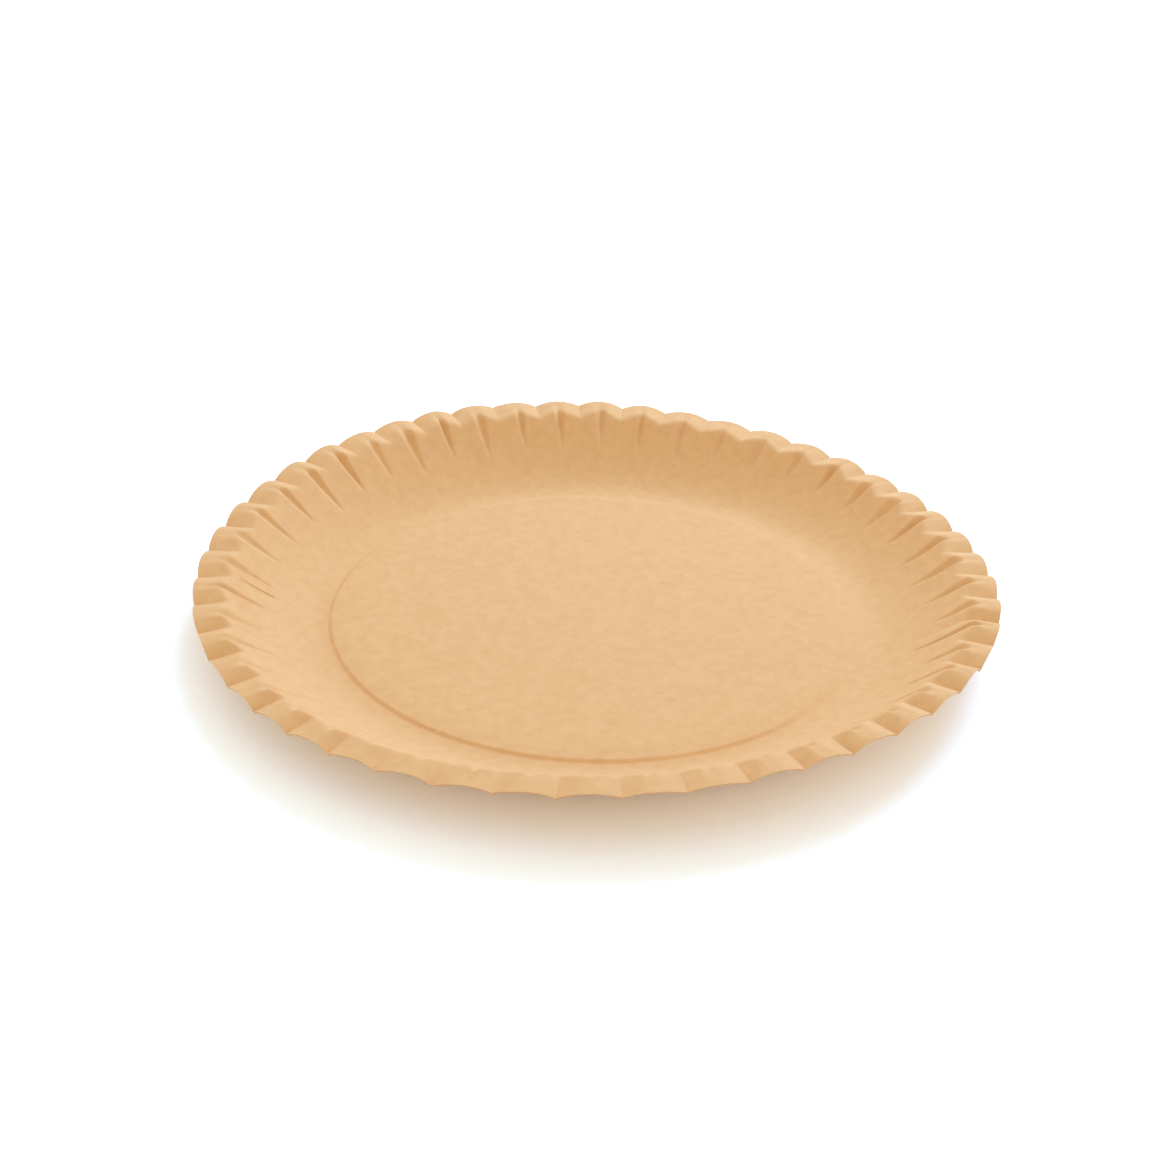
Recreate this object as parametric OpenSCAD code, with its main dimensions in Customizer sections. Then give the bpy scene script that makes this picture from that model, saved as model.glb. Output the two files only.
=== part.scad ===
// Fluted paper plate, pressed from one round sheet of kraft board.
// The origin is at the middle of the plate, on the surface it rests on, with +Z up.
// All sizes are in millimetres.

/* [Plate] */
// Diameter over the arches of the flutes
plate_d = 180; // [170:1:230]
// Height of the lip above the resting ring, in the valleys between the flutes
rim_h = 11.1; // [7:0.1:16]
// Thickness of the board
board_t = 0.4; // [0.3:0.05:0.7]

/* [Base] */
// Diameter of the raised centre panel, up to where its edge starts to fall
panel_d = 119.5; // [90:0.5:126]
// Height of the centre panel above the resting ring
panel_rise = 0.55; // [0.2:0.05:1.2]
// Width of the slope at the edge of the centre panel
panel_edge_w = 1.3; // [1.2:0.1:4]
// Width of the flat ring that the plate rests on
ring_w = 1.5; // [1:0.1:4]
// Distance over which the ring turns up into the wall
wall_bend = 7; // [3:0.1:9]

/* [Flutes] */
// Number of flutes round the rim
flutes = 48; // [24:4:52]
// Height of the arch of a flute above the valleys beside it
arch_h = 1.35; // [0.2:0.05:3]
// How much further out the edge stands on an arch than in a valley
arch_out = 0.4; // [0:0.05:2]
// Width of the flange in a valley, from the lip to the edge
flange_w = 7.5; // [5:0.1:9]
// How far the flange falls from the lip to the edge
flange_fall = 0.3; // [0:0.05:1]

/* [Crimps in the wall, one under each arch] */
// Height above the ring at which the crimps start
crimp_start_h = 4.8; // [2:0.1:6]
// How far a crimp cuts outwards at the lip
crimp_out = 1.5; // [0.5:0.1:3]
// Half of the width of a crimp at its foot
crimp_foot_w = 0.45; // [0.3:0.05:1]
// Half of the width of a crimp at the lip
crimp_lip_w = 1.75; // [1.2:0.05:3]

/* [Spring of the rim] */
// How far the rim has sprung up on one diameter and down on the other
spring = 2.2; // [0:0.1:4]
// Direction of the diameter that has sprung up
spring_at = 119; // [0:1:180]

/* [Hidden] */

kraft = "#e8be8a";

// Radii, from the middle out
panel_r = panel_d / 2;
ring_r = panel_r + panel_edge_w;
wall_r = ring_r + ring_w;
edge_r = plate_d / 2 - arch_out;
lip_r = edge_r - flange_w;

// The turned base and the fluted rim share the middle part of the flat ring
ring_end_share = 0.3;
rim_start_r = ring_r + ring_end_share * ring_w;
base_end_r = wall_r - ring_end_share * ring_w;

// The lip climbs along the slope of the wall on to each arch
lip_out = arch_h * (lip_r - wall_r - wall_bend) / rim_h;
// Only the uppermost part of the wall takes part in that
lip_climb = 4;
// The lip is rounder in the valleys than the edge is
lip_round = 1.7;

// Widths of the crimps as shares of the distance from one to the next
pitch = 2 * PI * lip_r / flutes;
crimp_foot = crimp_foot_w / pitch;
crimp_lip = crimp_lip_w / pitch;
// Where the edge has a point between a crimp and a valley
edge_share = 0.25;

// Columns of points in one flute, from its crimp over the valley to the next crimp
flute_columns = 6;
column_count = flutes * flute_columns;

// Places of the rings of points along the curve of the wall, up to the crimps and from there to the lip
crimp_start = sqrt(crimp_start_h / rim_h);
foot_steps = [0, 0.38, 0.7];
crimp_steps = [0, 0.5, 0.87];
wall_steps = concat(
    [for (share = foot_steps) share * crimp_start],
    [for (share = crimp_steps) crimp_start + share * (1 - crimp_start)]
);
// Places of the rings across the flange, the first just past the lip and the last at the edge
flange_steps = [0.1, 1];
ring_count = 1 + len(wall_steps) + len(flange_steps);

// The spring would be full a little past the edge
spring_reach = 1.1;
spring_r = wall_r + spring_reach * (edge_r - wall_r);

// Steps in the slope at the edge of the centre panel
edge_steps = 6;

function mix(a, b, share) = a + (b - a) * share;
function ease(share) = (1 - cos(180 * min(1, max(0, share)))) / 2;

// An arch: 1 and level on the crimp, 0 and sharp in the valleys beside it
function arch(place) = abs(cos(180 * place));

// A sharp fold: 1 on the crimp, falling straight to 0 at its sides
function fold(place, half_width) = max(0, 1 - place / half_width);

// How much of the crimp has opened at this step of the wall
function crimp_open(step) = max(0, (step - crimp_start) / (1 - crimp_start));

// Half of the width of the crimp at this step of the wall
function crimp_width(step) = mix(crimp_foot, crimp_lip, crimp_open(step));

// Point of the wall in a valley, as radius and height: a parabola that leaves the ring level
function valley_wall(step) =
    (1 - step) ^ 2 * [wall_r, 0] + 2 * step * (1 - step) * [wall_r + wall_bend, 0] + step ^ 2 * [lip_r, rim_h];

// Point of the wall at some distance from a crimp
function wall_point(step, place) =
    valley_wall(step)
    + step ^ lip_climb * arch(place) ^ lip_round * [lip_out, arch_h]
    + crimp_open(step) * fold(place, crimp_width(step)) * [crimp_out, 0];

// Point of the outer edge at some distance from a crimp
function edge_point(place) = [edge_r, rim_h - flange_fall] + arch(place) * [arch_out, arch_h];

// Steps of a ring along the wall or across the flange
function wall_step(ring) = wall_steps[min(max(ring - 1, 0), len(wall_steps) - 1)];
function flange_step(ring) = ring > len(wall_steps) ? flange_steps[ring - 1 - len(wall_steps)] : 0;

// Half of the width that the columns beside a crimp keep on this ring
function side_share(ring) =
    flange_step(ring) == 0 ? crimp_width(wall_step(ring)) : mix(crimp_lip, edge_share, flange_step(ring));

// Place of a column in its flute on this ring, as a share of the pitch
function column_share(ring, column) =
    let (side = side_share(ring), middle = (side + 0.5) / 2)
    [0, side, middle, 0.5, 1 - middle, 1 - side][column];

// Point of the upper surface, as radius and height
function section_point(ring, place) =
    ring == 0 ? [rim_start_r, 0]
    : flange_step(ring) == 0 ? wall_point(wall_step(ring), place)
    : mix(wall_point(1, place), edge_point(place), flange_step(ring));

// Rise of the rim that has sprung out of flat: none at the foot of the wall
function spring_rise(radius, angle) =
    spring * ease((radius - wall_r) / (spring_r - wall_r)) * cos(2 * (angle - spring_at));

// Point of the upper surface in space
function upper_point(ring, i) =
    let (
        column = i % flute_columns,
        share = column_share(ring, column),
        angle = 360 / flutes * ((i - column) / flute_columns + share),
        point = section_point(ring, min(share, 1 - share))
    )
    [
        point.x * cos(angle),
        point.x * sin(angle),
        board_t + point.y + spring_rise(point.x, angle)
    ];

// Direction of the upper surface at a point of the grid, straight up on the flat ring
function surface_normal(points, ring, i) =
    let (
        next = (i + 1) % column_count,
        last = (i + column_count - 1) % column_count,
        along = points[ring][next] - points[ring][last],
        outward = points[min(ring + 1, ring_count - 1)][i] - points[max(ring - 1, 0)][i],
        normal = cross(outward, along)
    )
    ring < 2 ? [0, 0, 1] : normal / norm(normal);

// Wall and flange: a grid of points on the upper surface and the same grid one board below
module fluted_rim() {
    grid = [for (ring = [0 : ring_count - 1]) [for (i = [0 : column_count - 1]) upper_point(ring, i)]];
    upper = [for (row = grid) each row];
    lower = [
        for (ring = [0 : ring_count - 1], i = [0 : column_count - 1])
            grid[ring][i] - board_t * surface_normal(grid, ring, i)
    ];
    // The rings of points in order round the section: up over the top and back underneath
    loop = concat(
        [for (ring = [0 : ring_count - 1]) ring],
        [for (ring = [ring_count - 1 : -1 : 0]) ring + ring_count]
    );
    faces = [
        for (k = [0 : len(loop) - 1], i = [0 : column_count - 1])
            let (
                inner = loop[k] * column_count,
                outer = loop[(k + 1) % len(loop)] * column_count,
                next = (i + 1) % column_count
            )
            each [
                [inner + i, inner + next, outer + next],
                [inner + i, outer + next, outer + i]
            ]
    ];
    polyhedron(points = concat(upper, lower), faces = faces, convexity = 6);
}

// Centre panel, its sloping edge and the inner part of the ring, turned from one section
module turned_base() {
    slope = [
        for (k = [0 : edge_steps])
            [panel_r + panel_edge_w * k / edge_steps, panel_rise * (1 - ease(k / edge_steps))]
    ];
    lower = concat([[0, panel_rise]], slope, [[base_end_r, 0]]);
    upper = [for (k = [len(lower) - 1 : -1 : 0]) lower[k] + [0, board_t]];
    rotate_extrude($fn = 192) polygon(concat(lower, upper));
}

module plate() {
    color(kraft) union() {
        turned_base();
        fluted_rim();
    }
}

plate();
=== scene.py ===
"""Looks of a fluted kraft paper plate: one pressed sheet, its board, the light and the camera.

Lengths are in metres, in the frame of the CAD model: the origin is at the middle of the plate, on the
surface it stands on, with +Z up.
"""
import math

import bpy
import numpy as np
from mathutils import Matrix, Vector


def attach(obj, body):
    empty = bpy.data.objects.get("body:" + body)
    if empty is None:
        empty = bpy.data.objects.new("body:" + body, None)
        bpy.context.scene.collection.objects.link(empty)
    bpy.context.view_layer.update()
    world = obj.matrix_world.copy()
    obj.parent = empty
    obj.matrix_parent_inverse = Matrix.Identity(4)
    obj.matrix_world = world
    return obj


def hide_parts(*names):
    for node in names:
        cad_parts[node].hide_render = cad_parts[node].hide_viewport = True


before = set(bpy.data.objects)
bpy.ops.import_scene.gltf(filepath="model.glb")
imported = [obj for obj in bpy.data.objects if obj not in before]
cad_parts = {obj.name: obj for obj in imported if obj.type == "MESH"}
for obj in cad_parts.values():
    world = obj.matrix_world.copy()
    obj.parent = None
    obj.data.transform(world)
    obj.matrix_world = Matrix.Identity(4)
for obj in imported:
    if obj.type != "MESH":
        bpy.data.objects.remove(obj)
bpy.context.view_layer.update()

MM = 0.001

# Sizes of the sheet, as in the CAD model
PLATE_D = 180 * MM
RIM_H = 11.1 * MM
BOARD_T = 0.4 * MM
PANEL_R = 59.75 * MM
PANEL_RISE = 0.55 * MM
PANEL_EDGE_W = 1.3 * MM
RING_W = 1.5 * MM
WALL_BEND = 7 * MM
FLUTES = 48
ARCH_H = 1.35 * MM
ARCH_OUT = 0.4 * MM
FLANGE_W = 7.5 * MM
FLANGE_FALL = 0.3 * MM
CRIMP_START_H = 4.8 * MM
CRIMP_OUT = 1.5 * MM
CRIMP_FOOT_W = 0.45 * MM
CRIMP_LIP_W = 1.75 * MM
SPRING = 2.2 * MM
SPRING_AT = math.radians(119)
SPRING_REACH = 1.1
LIP_CLIMB = 4
EDGE_SHARE = 0.25

# Sizes that follow from them
RING_R = PANEL_R + PANEL_EDGE_W
WALL_R = RING_R + RING_W
EDGE_R = PLATE_D / 2 - ARCH_OUT
LIP_R = EDGE_R - FLANGE_W
LIP_OUT = ARCH_H * (LIP_R - WALL_R - WALL_BEND) / RIM_H
SPRING_R = WALL_R + SPRING_REACH * (EDGE_R - WALL_R)
PITCH = 2 * math.pi / FLUTES
CRIMP_FOOT = CRIMP_FOOT_W / (LIP_R * PITCH)
CRIMP_LIP = CRIMP_LIP_W / (LIP_R * PITCH)

# Beyond the CAD model, the crimps also pull the lip down, and the valleys of lip and edge are sharper
CRIMP_DOWN = 0.7 * MM
LIP_ROUND = 1.4
EDGE_ROUND = 0.8

# Place of a valley, in pitches from the crimp
VALLEY_PLACE = 0.5

# How finely the sheet is meshed: places across half a crimp and from there to the valley, and the number
# of rings in each zone
CRIMP_STEPS = (0.0, 0.35, 0.75)
SIDE_STEPS = (0.0, 0.12, 0.32, 0.55, 0.78, 0.94)
PANEL_RINGS = 6
PANEL_EDGE_RINGS = 6
WALL_RINGS = 24
LIP_RINGS = 5
FLANGE_RINGS = 7
# How far the cut edge leans in from the upper to the lower side
CUT_LEAN = 0.25 * MM
# Length of the wall and of the flange that the rounding of the lip takes up
LIP_BEND = 1.0 * MM

# Slow drift of the flutes from even spacing, as waves round the rim: how many crests each wave has, its size
# in pitches, and the number of a flute on a crest
DRIFT_WAVES = ((2, 0.035, 12.6), (3, 0.052, 9.1), (4, 0.037, 2.3))
# The same for the height at which the crimps start, as a share of it: they are shortest at the back
START_WAVES = ((1, 0.06, 13), (2, 0.06, 13), (3, 0.04, 13))
# The same for the depth of the crimps, with its mean as a share of that in the CAD model: they are deepest
# at the back right
DEPTH_MEAN = 0.82
DEPTH_WAVES = ((1, 0.36, 9),)
# The same for the height of the arches: they are highest at the front left and at the front right
ARCH_MEAN = 1.18
ARCH_WAVES = ((1, 0.26, 36), (2, -0.15, 36), (3, -0.20, 36), (4, -0.16, 36))
# Width of the crimps, as a share of that in the CAD model
WIDTH_MEAN = 0.88
# Slow waves in the way from the middle of a flute to its crimp, in pitches
LEAN_WAVES = ((1, 0.06, 30), (2, 0.06, 30), (3, 0.06, 30))
# Spread of the small differences from flute to flute
FLUTE_SEED = 48
TURN_SPREAD = 0.02
START_SPREAD = 0.16
DEPTH_SPREAD = 0.12
WIDTH_SPREAD = 0.12
ARCH_SPREAD = 0.10
VALLEY_SPREAD = 0.12 * MM
# The crimp that runs further down the wall than the others, and the valley next to it that is deeper
LONG_CRIMP = 46
LONG_CRIMP_START = 0.62
DEEP_VALLEY = 46
DEEP_VALLEY_DROP = 1.5 * MM
# Where the sides of that valley start, in pitches from the crimps beside it, and the share of its depth
# that it has at the lip
DEEP_VALLEY_FROM = 0.2
DEEP_VALLEY_AT_LIP = 0.5

# Towards the right and the back the slope at the edge of the panel starts further in and is softer
SOFT_EDGE_AT = math.radians(38)
SOFT_EDGE_W = 5 * MM

# A fine scored line down the wall, in the upper side of the board only
SCORE_FLUTE = 24
SCORE_AT = math.radians(183.0)
SCORE_FROM_R = 72.2 * MM
SCORE_TO_R = 80.9 * MM
SCORE_HALF_W = 0.32 * MM
SCORE_DEPTH = 0.38 * MM
SCORE_FADE = 1.5 * MM
SCORE_SIDE_STEPS = tuple(np.linspace(0, 0.97, 40))

# The camera: its lens, and where it stands, found from the flutes in the photograph
PHOTO_SIZE_PX = 1170
CAMERA_FOCAL_PX = 1853
CAMERA_SENSOR_MM = 36
CAMERA_NEAR = 0.01
CAMERA_ELEVATION = math.radians(29.12)
CAMERA_TURN = math.radians(0.87)
CAMERA_ROLL = math.radians(1.16)
CAMERA_DISTANCE = 4.860 * EDGE_R
CAMERA_AIM = Vector((-0.0287 * EDGE_R, 0.1367 * EDGE_R, BOARD_T + PANEL_RISE / 2))

# Colours of the board: its clouds run between the first two, with fibres and flecks on them
CLOUD_DEEP = (0.795, 0.493, 0.252, 1)
CLOUD_LIGHT = (0.850, 0.544, 0.290, 1)
FIBRE_COLOUR = (0.830, 0.560, 0.325, 1)
PALE_FLECK = (0.880, 0.660, 0.430, 1)
DARK_FLECK = (0.600, 0.330, 0.150, 1)
# How fine each of them is, in waves to the metre, and how far fibres and flecks are longer than wide
CLOUD_SCALE = 420
FIBRE_SCALE = 1300
PALE_SCALE = 700
DARK_SCALE = 620
FIBRE_LENGTH = 1.3
PALE_LENGTH = 2.6
DARK_LENGTH = 2.8
# Levels of detail in the noise that makes them, and the span of its values in which each comes up
CLOUD_DETAIL = 4
FIBRE_DETAIL = 2
FLECK_DETAIL = 1
CLOUD_SPAN = (0.33, 0.67)
FIBRE_SPAN = (0.35, 0.75)
PALE_SPAN = (0.68, 0.78)
DARK_SPAN = (0.70, 0.80)
# How strongly fibres and flecks cover the clouds
FIBRE_COVER = 0.3
FLECK_COVER = 0.4
# Relief, roughness and gloss of the surface
FIBRE_HEIGHT = 0.06 * MM
FIBRE_BUMP = 0.25
ROUGH_SPAN = (0.3, 0.7)
ROUGHNESS = (0.78, 0.92)
GLOSS = 0.25

# The floor: as the camera sees it, exposed to white, and as it lights the plate
FLOOR_SEEN = (1.42, 1.72, 2.28, 1)
FLOOR_LIGHT = (0.94, 0.94, 0.94, 1)
FLOOR_HALF_W = 3.0

# Light: a soft lamp at the back right and an even sky, which the camera sees as white
LAMP_TURN = math.radians(66)
LAMP_ELEVATION = math.radians(38)
LAMP_DISTANCE = 0.8
LAMP_SIZE = 0.6
LAMP_POWER = 4.0
LAMP_COLOUR = (0.68, 1.0, 1.40)
SKY_LIGHT = (0.7482, 0.645, 0.47085, 1)
SKY_SEEN = (1, 1, 1, 1)

# Numbers of the sockets of a mix node that belong to colours
MIX_SHARE = 0
MIX_FIRST = 6
MIX_SECOND = 7
MIX_RESULT = 2


def mix(a, b, share):
    return a + (b - a) * share


def ease(share):
    return (1 - np.cos(np.pi * np.clip(share, 0, 1))) / 2


def make_columns():
    """The columns of the mesh, all round.

    Each knows its crimp and its valley, where it lies between them, and how the flute there differs from
    the others.
    """
    rng = np.random.default_rng(FLUTE_SEED)
    number = np.arange(FLUTES)

    def slow(waves):
        return sum(size * np.cos(2 * np.pi * n * (number - crest) / FLUTES) for n, size, crest in waves)

    flute_at = (number + slow(DRIFT_WAVES) + rng.normal(0, TURN_SPREAD, FLUTES)) * PITCH
    valley_at = (flute_at + np.append(flute_at[1:], flute_at[0] + 2 * math.pi)) / 2
    crimp_at = flute_at + slow(LEAN_WAVES) * PITCH
    next_crimp_at = np.append(crimp_at[1:], crimp_at[0] + 2 * math.pi)
    start = 1 + slow(START_WAVES) + rng.uniform(-START_SPREAD, START_SPREAD, FLUTES)
    start[LONG_CRIMP] = LONG_CRIMP_START
    depth = DEPTH_MEAN + slow(DEPTH_WAVES) + rng.normal(0, DEPTH_SPREAD, FLUTES)
    width = WIDTH_MEAN + rng.normal(0, WIDTH_SPREAD, FLUTES)
    arch_height = ARCH_MEAN + slow(ARCH_WAVES) + rng.normal(0, ARCH_SPREAD, FLUTES)
    drop = rng.normal(0, VALLEY_SPREAD, FLUTES)
    deep = np.where(number == DEEP_VALLEY, DEEP_VALLEY_DROP, 0)

    rows = []
    for flute in range(FLUTES):
        after = (flute + 1) % FLUTES
        plain = [(step, 0) for step in CRIMP_STEPS] + [(1, step) for step in SIDE_STEPS]
        leaving = plain
        if flute == SCORE_FLUTE:
            leaving = plain[:len(CRIMP_STEPS)] + [(1, step) for step in SCORE_SIDE_STEPS]
        for across, beside in leaving:
            rows.append((crimp_at[flute], valley_at[flute], flute, flute, across, beside))
        rows.append((crimp_at[flute], valley_at[flute], flute, flute, 1, 1))
        for across, beside in plain[:0:-1]:
            rows.append((next_crimp_at[flute], valley_at[flute], after, flute, across, beside))
    from_angle, to_angle, crimp, valley, across, beside = np.array(rows).T
    crimp = crimp.astype(int)
    valley = valley.astype(int)
    return {
        "crimp_at": from_angle,
        "valley_at": to_angle,
        "across": across,
        "beside": beside,
        "start": np.sqrt(CRIMP_START_H * start[crimp] / RIM_H),
        "depth": depth[crimp],
        "width": width[crimp],
        "arch": arch_height[crimp],
        "drop": drop[valley],
        "deep": deep[valley],
    }


def crimp_open(step, columns):
    """How much of the crimp has opened at this step of the wall."""
    return np.clip((step - columns["start"]) / (1 - columns["start"]), 0, 1)


def crimp_width(step, columns):
    """Half of the width of the crimp at this step of the wall, as a share of the pitch."""
    return mix(CRIMP_FOOT, CRIMP_LIP * columns["width"], crimp_open(step, columns))


def arch(place):
    """Level on a crimp, sharp in the valleys beside it."""
    return np.abs(np.cos(np.pi * place))


def deep_valley(place, columns):
    """How far the one deep valley is sunk at a place: its sides fall straight from a sharp ridge."""
    return columns["deep"] * np.clip((place - DEEP_VALLEY_FROM) / (VALLEY_PLACE - DEEP_VALLEY_FROM), 0, 1)


def wall_point(step, place, columns):
    """Radius and height of the wall: a parabola that leaves the ring level, with crimps pressed into it."""
    ring = np.array([WALL_R, 0])
    bend = np.array([WALL_R + WALL_BEND, 0])
    lip = np.array([LIP_R, RIM_H])
    plain = (1 - step) ** 2 * ring + 2 * step * (1 - step) * bend + step ** 2 * lip
    fold = np.clip(1 - place / crimp_width(step, columns), 0, 1)
    fold = fold * crimp_open(step, columns) * columns["depth"]
    climb = step ** LIP_CLIMB * arch(place) ** LIP_ROUND * columns["arch"]
    climbed = climb[:, None] * np.array([LIP_OUT, ARCH_H])
    pressed = fold[:, None] * np.array([CRIMP_OUT, -CRIMP_DOWN])
    sunk = step ** LIP_CLIMB * DEEP_VALLEY_AT_LIP * deep_valley(place, columns)
    return plain + climbed + pressed - sunk[:, None] * np.array([0, 1])


def edge_point(place, columns):
    """Radius and height of the scalloped edge."""
    rise = arch(place) ** EDGE_ROUND
    radius = EDGE_R + rise * ARCH_OUT
    sunk = (1 - rise) * columns["drop"] + deep_valley(place, columns)
    height = RIM_H - FLANGE_FALL + rise * ARCH_H * columns["arch"] - sunk
    return np.stack([radius, height], axis=1)


def ring_of_points(section, side, columns):
    """Angle, radius and height in each column, with the sides of the crimps at this share of the pitch."""
    place = columns["across"] * side + columns["beside"] * (VALLEY_PLACE - side)
    angle = mix(columns["crimp_at"], columns["valley_at"], place / VALLEY_PLACE)
    return np.column_stack([angle, section(place)])


def base_ring(radius, height, columns):
    """A ring of the panel or of its edge."""
    def section(place):
        return np.tile([radius, height], (len(place), 1))

    return ring_of_points(section, CRIMP_FOOT, columns)


def wall_ring(step, columns):
    """A ring of the wall, from step 0 at its foot to step 1 at the lip."""
    def section(place):
        return wall_point(step, place, columns)

    return ring_of_points(section, crimp_width(step, columns), columns)


def flange_ring(step, columns):
    """A ring of the flange, from step 0 at the lip to step 1 at the edge."""
    def section(place):
        return mix(wall_point(1.0, place, columns), edge_point(place, columns), step)

    return ring_of_points(section, mix(crimp_width(1.0, columns), EDGE_SHARE, step), columns)


def sheet_rings(columns):
    """Angle, radius and height of the upper surface in every column, ring by ring from the panel out."""
    rings = []
    for share in np.sqrt(np.linspace(0, 1, PANEL_RINGS + 1)[1:-1]):
        rings.append(base_ring(PANEL_R * share, PANEL_RISE, columns))
    for share in np.linspace(0, 1, PANEL_EDGE_RINGS + 1):
        ring = base_ring(PANEL_R + PANEL_EDGE_W * share, PANEL_RISE * (1 - ease(share)), columns)
        softer = SOFT_EDGE_W * np.clip(np.cos(ring[:, 0] - SOFT_EDGE_AT), 0, 1)
        ring[:, 1] -= softer * (1 - share)
        rings.append(ring)

    upper_wall_length = 2 * math.hypot(LIP_R - WALL_R - WALL_BEND, RIM_H)
    wall_end = 1 - LIP_BEND / upper_wall_length
    flange_start = LIP_BEND / FLANGE_W
    for step in np.linspace(0, wall_end, WALL_RINGS):
        rings.append(wall_ring(step, columns))
    below = rings[-1]
    lip = wall_ring(1.0, columns)
    above = flange_ring(flange_start, columns)
    for step in np.linspace(0, 1, LIP_RINGS + 1)[1:-1]:
        rings.append((1 - step) ** 2 * below + 2 * step * (1 - step) * lip + step ** 2 * above)
    for step in np.linspace(flange_start, 1, FLANGE_RINGS + 1):
        rings.append(flange_ring(step, columns))
    return np.array(rings)


def score_depth(angle, radius):
    """Depth of the scored line at a point of the wall."""
    beside = np.abs(angle - SCORE_AT) * radius
    along = np.clip(np.minimum(radius - SCORE_FROM_R, SCORE_TO_R - radius) / SCORE_FADE, 0, 1)
    return SCORE_DEPTH * along * np.clip(1 - beside / SCORE_HALF_W, 0, 1)


def sheet_points():
    """Points of the upper and the lower surface in space, ring by ring."""
    angle, radius, height = np.moveaxis(sheet_rings(make_columns()), 2, 0)
    sprung = ease((radius - WALL_R) / (SPRING_R - WALL_R))
    height = height + BOARD_T + SPRING * sprung * np.cos(2 * (angle - SPRING_AT))
    upper = np.stack([radius * np.cos(angle), radius * np.sin(angle), height], axis=2)

    along = np.roll(upper, -1, axis=1) - np.roll(upper, 1, axis=1)
    outward = np.gradient(upper, axis=0)
    normal = np.cross(outward, along)
    normal /= np.linalg.norm(normal, axis=2, keepdims=True)
    lower = upper - BOARD_T * normal
    lower[-1, :, :2] *= 1 - CUT_LEAN / radius[-1][:, None]
    scored = upper - score_depth(angle, radius)[:, :, None] * normal
    return scored, lower


def grid_faces(inner, outer):
    """Quads between two rings of point numbers."""
    return list(zip(inner, np.roll(inner, -1), np.roll(outer, -1), outer))


def make_sheet():
    """The pressed sheet as one closed mesh: upper side, cut edge and underside."""
    upper, lower = sheet_points()
    rings, count = upper.shape[:2]
    middle = np.array([[0, 0, PANEL_RISE + BOARD_T], [0, 0, PANEL_RISE]])
    points = np.concatenate([upper.reshape(-1, 3), lower.reshape(-1, 3), middle])
    number = np.arange(2 * rings * count).reshape(2, rings, count)
    top_middle = 2 * rings * count
    under_middle = top_middle + 1

    faces = []
    for k in range(count):
        after = (k + 1) % count
        faces.append((top_middle, number[0, 0, k], number[0, 0, after]))
        faces.append((under_middle, number[1, 0, after], number[1, 0, k]))
    for ring in range(rings - 1):
        faces += [face[::-1] for face in grid_faces(number[0, ring], number[0, ring + 1])]
        faces += grid_faces(number[1, ring], number[1, ring + 1])
    faces += [face[::-1] for face in grid_faces(number[0, -1], number[1, -1])]

    mesh = bpy.data.meshes.new("pressed_sheet")
    mesh.from_pydata(points.tolist(), [], [tuple(int(n) for n in face) for face in faces])
    mesh.validate()
    mesh.polygons.foreach_set("use_smooth", [True] * len(mesh.polygons))
    cut = set(number[0, -1].tolist())
    under_cut = set(number[1, -1].tolist())
    for edge in mesh.edges:
        ends = set(edge.vertices)
        edge.use_edge_sharp = ends <= cut or ends <= under_cut
    sheet = bpy.data.objects.new("pressed_sheet", mesh)
    bpy.context.scene.collection.objects.link(sheet)
    return sheet


def fill(tree, socket, value):
    """Sets an input to a value or joins it to another node's output."""
    if isinstance(value, bpy.types.NodeSocket):
        tree.links.new(value, socket)
    else:
        socket.default_value = value


def new_node(tree, kind, values=None, **settings):
    """A shader node with its settings and its inputs filled."""
    made = tree.nodes.new(kind)
    for name, value in settings.items():
        setattr(made, name, value)
    for name, value in (values or {}).items():
        fill(tree, made.inputs[name], value)
    return made


def new_material(name):
    material = bpy.data.materials.new(name)
    material.use_nodes = True
    return material, material.node_tree, material.node_tree.nodes["Principled BSDF"]


def blended(tree, share, first, second):
    """One colour mixed with another."""
    values = {MIX_SHARE: share, MIX_FIRST: first, MIX_SECOND: second}
    return new_node(tree, "ShaderNodeMix", values, data_type="RGBA").outputs[MIX_RESULT]


def board_material():
    """Uncoated kraft board: a soft cloudiness, fine fibres, and sparse pale and dark flecks."""
    material, tree, shader = new_material("kraft_board")
    place = new_node(tree, "ShaderNodeTexCoord").outputs["Object"]

    def noise(scale, detail, length=1.0):
        mapped = new_node(tree, "ShaderNodeMapping", {"Vector": place, "Scale": (1, length, length)})
        made = new_node(tree, "ShaderNodeTexNoise", {
            "Vector": mapped.outputs["Vector"], "Scale": scale, "Detail": detail})
        return made.outputs["Fac"]

    def ramp(value, span, low, high):
        made = new_node(tree, "ShaderNodeMapRange", {
            "Value": value, "From Min": span[0], "From Max": span[1], "To Min": low, "To Max": high})
        return made.outputs["Result"]

    clouds = noise(CLOUD_SCALE, CLOUD_DETAIL)
    fibres = noise(FIBRE_SCALE, FIBRE_DETAIL, FIBRE_LENGTH)
    pale = noise(PALE_SCALE, FLECK_DETAIL, PALE_LENGTH)
    dark = noise(DARK_SCALE, FLECK_DETAIL, DARK_LENGTH)
    colour = blended(tree, ramp(clouds, CLOUD_SPAN, 0, 1), CLOUD_DEEP, CLOUD_LIGHT)
    colour = blended(tree, ramp(fibres, FIBRE_SPAN, 0, FIBRE_COVER), colour, FIBRE_COLOUR)
    colour = blended(tree, ramp(pale, PALE_SPAN, 0, FLECK_COVER), colour, PALE_FLECK)
    colour = blended(tree, ramp(dark, DARK_SPAN, 0, FLECK_COVER), colour, DARK_FLECK)
    tree.links.new(colour, shader.inputs["Base Color"])
    tree.links.new(ramp(fibres, ROUGH_SPAN, *ROUGHNESS), shader.inputs["Roughness"])
    bump = new_node(tree, "ShaderNodeBump", {
        "Height": fibres, "Strength": FIBRE_BUMP, "Distance": FIBRE_HEIGHT})
    tree.links.new(bump.outputs["Normal"], shader.inputs["Normal"])
    shader.inputs["Specular IOR Level"].default_value = GLOSS
    return material


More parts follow.
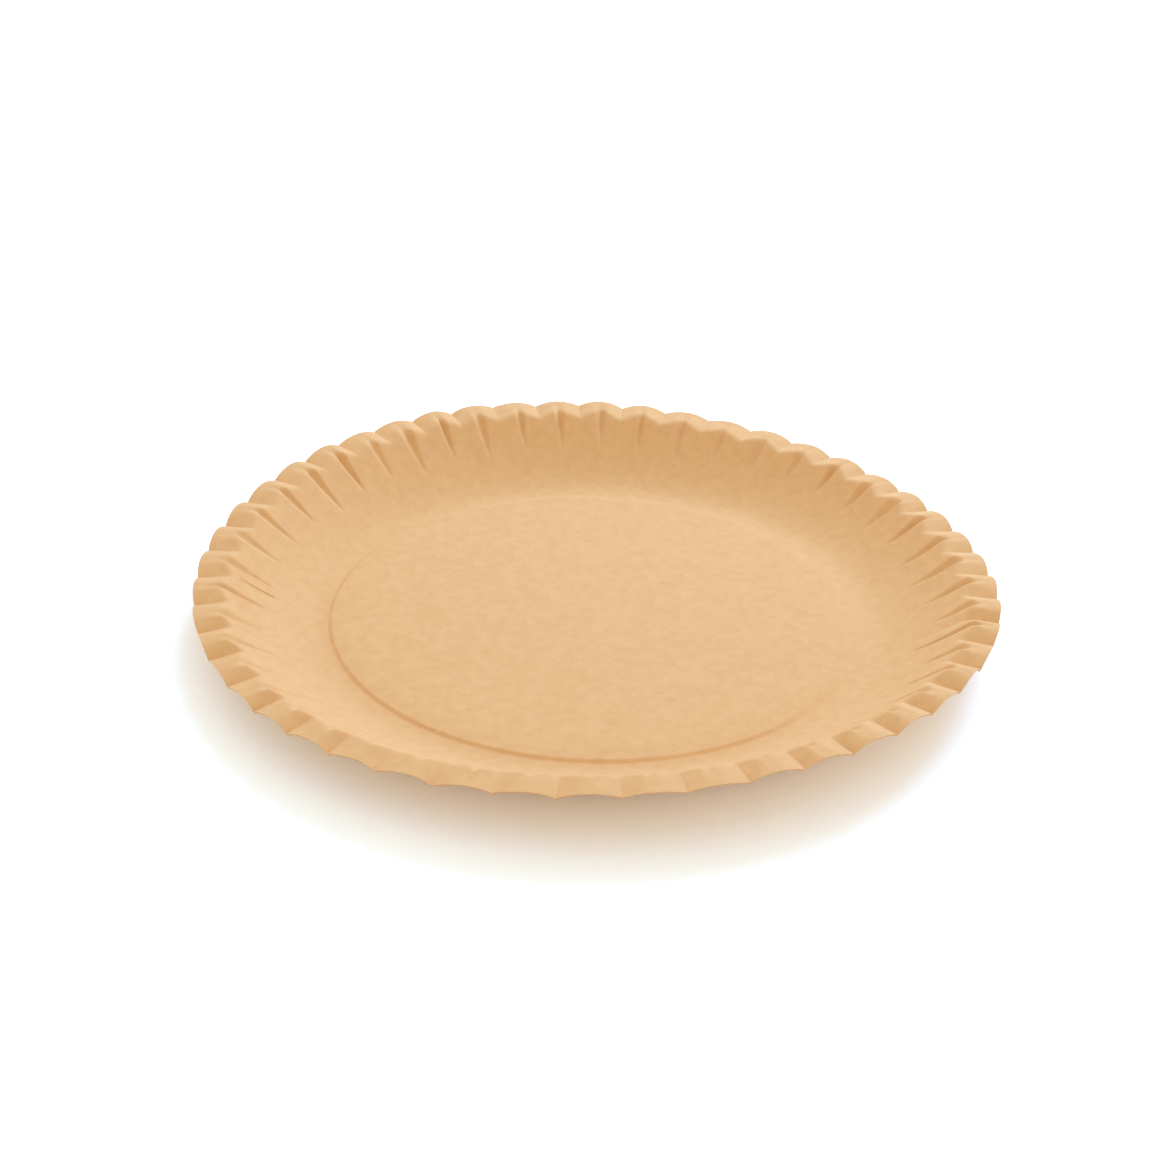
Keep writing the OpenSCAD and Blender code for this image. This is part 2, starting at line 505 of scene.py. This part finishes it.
def seen_ray(tree):
    """1 for the rays that show the background, 0 for those that carry its light."""
    path = new_node(tree, "ShaderNodeLightPath").outputs
    seen = path["Is Camera Ray"]
    for name in ("Is Glossy Ray", "Is Transmission Ray"):
        seen = new_node(tree, "ShaderNodeMath", {0: seen, 1: path[name]}, operation="ADD").outputs[0]
    return seen


def floor_material():
    """A matt floor that the camera sees exposed to white, while the plate gets the light of white paper."""
    material, tree, shader = new_material("floor")
    colour = blended(tree, seen_ray(tree), FLOOR_LIGHT, FLOOR_SEEN)
    white = new_node(tree, "ShaderNodeBsdfDiffuse", {"Color": colour})
    tree.links.new(white.outputs["BSDF"], tree.nodes["Material Output"].inputs["Surface"])
    tree.nodes.remove(shader)
    return material


def make_floor():
    corners = [(x * FLOOR_HALF_W, y * FLOOR_HALF_W, 0) for x, y in ((-1, -1), (1, -1), (1, 1), (-1, 1))]
    mesh = bpy.data.meshes.new("floor")
    mesh.from_pydata(corners, [], [(0, 1, 2, 3)])
    floor = bpy.data.objects.new("floor", mesh)
    bpy.context.scene.collection.objects.link(floor)
    floor.data.materials.append(floor_material())


def make_lamp():
    light = bpy.data.lights.new("lamp", "AREA")
    light.shape = "SQUARE"
    light.size = LAMP_SIZE
    light.energy = LAMP_POWER
    light.color = LAMP_COLOUR
    lamp = bpy.data.objects.new("lamp", light)
    bpy.context.scene.collection.objects.link(lamp)
    flat = math.cos(LAMP_ELEVATION)
    towards = Vector((flat * math.cos(LAMP_TURN), flat * math.sin(LAMP_TURN), math.sin(LAMP_ELEVATION)))
    lamp.location = LAMP_DISTANCE * towards
    lamp.rotation_euler = towards.to_track_quat("Z", "Y").to_euler()


def make_sky():
    world = bpy.data.worlds.new("sky")
    world.use_nodes = True
    tree = world.node_tree
    sky = tree.nodes["Background"]
    tree.links.new(blended(tree, seen_ray(tree), SKY_LIGHT, SKY_SEEN), sky.inputs["Color"])
    bpy.context.scene.world = world


def make_camera():
    forward = Vector((0, math.cos(CAMERA_ELEVATION), -math.sin(CAMERA_ELEVATION)))
    right = Vector((1, 0, 0))
    up = right.cross(forward)
    rolled_right = math.cos(CAMERA_ROLL) * right + math.sin(CAMERA_ROLL) * up
    rolled_up = math.cos(CAMERA_ROLL) * up - math.sin(CAMERA_ROLL) * right
    pose = Matrix((rolled_right, rolled_up, -forward)).transposed().to_4x4()
    pose.translation = CAMERA_AIM - CAMERA_DISTANCE * forward

    camera = bpy.data.cameras.new("camera")
    camera.sensor_width = CAMERA_SENSOR_MM
    camera.lens = CAMERA_SENSOR_MM * CAMERA_FOCAL_PX / PHOTO_SIZE_PX
    camera.clip_start = CAMERA_NEAR
    eye = bpy.data.objects.new("camera", camera)
    bpy.context.scene.collection.objects.link(eye)
    eye.matrix_world = Matrix.Rotation(CAMERA_TURN, 4, "Z") @ pose
    bpy.context.scene.camera = eye


sheet = make_sheet()
sheet.data.materials.append(board_material())
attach(sheet, "root")
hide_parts("plate")

make_floor()
make_lamp()
make_sky()
make_camera()
bpy.context.scene.view_settings.view_transform = "Standard"
